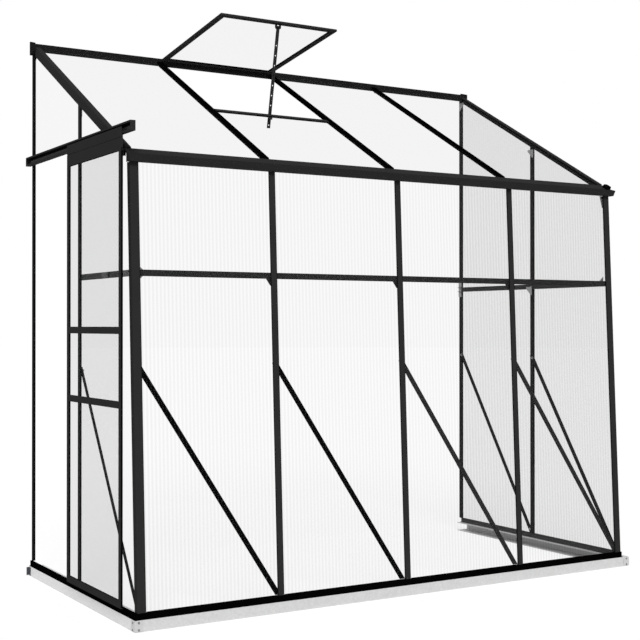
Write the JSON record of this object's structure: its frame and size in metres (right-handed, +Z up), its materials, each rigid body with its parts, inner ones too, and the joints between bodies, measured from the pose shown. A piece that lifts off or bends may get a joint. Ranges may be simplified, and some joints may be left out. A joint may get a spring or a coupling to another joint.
{
  "type": "lean-to greenhouse",
  "caption": "Lean-to greenhouse with dark metal bars and translucent sheets on a steel base, with a sliding end door and a hinged roof vent.",
  "frame": {"origin": "middle of the bottom of the whole part's box, on the ground", "axes": "+Z up; +Y back to the house wall that the part leans on; +X along the wall, from the door end to the closed end"},
  "size_m": [2.5608, 1.2548, 2.5285],
  "materials": {
    "dark_aluminium": "powder coated, satin, very dark grey",
    "galvanised_steel": "galvanised, dull, light grey",
    "zinc_bracket": "zinc plated, satin",
    "twin_wall_sheet": "translucent twin-wall sheet, clear to pale white with fine upright ribs",
    "roller_plastic": "moulded, black"
  },
  "bodies": {
    "frame": {"base_front": "galvanised_steel", "base_left": "galvanised_steel", "base_right": "galvanised_steel", "base_corner_left": "zinc_bracket", "base_corner_right": "zinc_bracket", "sill_front": "dark_aluminium", "sill_left": "dark_aluminium", "sill_right": "dark_aluminium", "corner_post_left": "dark_aluminium", "corner_post_right": "dark_aluminium", "wall_post_left": "dark_aluminium", "wall_post_right": "dark_aluminium", "mullion_left": "dark_aluminium", "mullion_right": "dark_aluminium", "front_bar_1": "dark_aluminium", "front_bar_2": "dark_aluminium", "front_bar_3": "dark_aluminium", "mid_rail_front": "dark_aluminium", "mid_rail_left": "dark_aluminium", "mid_rail_right": "dark_aluminium", "brace_front_1": "dark_aluminium", "brace_front_2": "dark_aluminium", "brace_front_3": "dark_aluminium", "brace_front_4": "dark_aluminium", "brace_left": "dark_aluminium", "brace_right_front": "dark_aluminium", "brace_right_back": "dark_aluminium", "eave_gutter": "dark_aluminium", "ridge": "dark_aluminium", "rafter_left": "dark_aluminium", "rafter_right": "dark_aluminium", "roof_bar_1": "dark_aluminium", "roof_bar_2": "dark_aluminium", "roof_bar_3": "dark_aluminium", "vent_crossbar": "dark_aluminium", "roof_sheet_1": "twin_wall_sheet", "roof_sheet_2": "twin_wall_sheet", "roof_sheet_3": "twin_wall_sheet", "roof_sheet_4": "twin_wall_sheet", "front_sheet_1": "twin_wall_sheet", "front_sheet_2": "twin_wall_sheet", "front_sheet_3": "twin_wall_sheet", "front_sheet_4": "twin_wall_sheet", "end_sheet_left_front": "twin_wall_sheet", "end_sheet_left_back": "twin_wall_sheet", "end_sheet_right_front": "twin_wall_sheet", "end_sheet_right_back": "twin_wall_sheet", "door_track": "dark_aluminium"},
    "door": {"door_stile_front": "dark_aluminium", "door_stile_back": "dark_aluminium", "door_rail_bottom": "dark_aluminium", "door_rail_lower": "dark_aluminium", "door_rail_upper": "dark_aluminium", "door_rail_top": "dark_aluminium", "door_sheet": "twin_wall_sheet"},
    "roller_front": {"roller_front": "roller_plastic"},
    "roller_back": {"roller_back": "roller_plastic"},
    "vent": {"vent_frame": "dark_aluminium", "vent_sheet": "twin_wall_sheet"},
    "stay": {"vent_stay": "dark_aluminium"}
  },
  "joints": [
    {"name": "door_slide", "type": "slide", "parent": "frame", "child": "door", "axis": [0, 1, 0], "range_m": [-0.045, 0.555]},
    {"name": "roller_front_spin", "type": "hinge", "parent": "door", "child": "roller_front", "pos_m": [-1.2655, -0.4581, 1.8986], "axis": [1, 0, 0], "range_deg": [-2280, 190]},
    {"name": "roller_back_spin", "type": "hinge", "parent": "door", "child": "roller_back", "pos_m": [-1.2655, -0.0181, 1.8986], "axis": [1, 0, 0], "range_deg": [-2280, 190]},
    {"name": "vent_hinge", "type": "hinge", "parent": "frame", "child": "vent", "pos_m": [-0.3184, 0.5793, 2.43708], "axis": [1, 0, 0], "range_deg": [0, 36.2]},
    {"name": "stay_pivot", "type": "hinge", "parent": "vent", "child": "stay", "pos_m": [-0.3184, -0.03698, 2.50628], "axis": [1, 0, 0], "range_deg": [-16.5, 1]}
  ],
  "couplings": [
    {"joint": "roller_front_spin", "follows": "door_slide", "rad_per_m": -71.429},
    {"joint": "roller_back_spin", "follows": "door_slide", "rad_per_m": -71.429},
    {"joint": "stay_pivot", "follows": "vent_hinge", "ratio": -0.42}
  ]
}
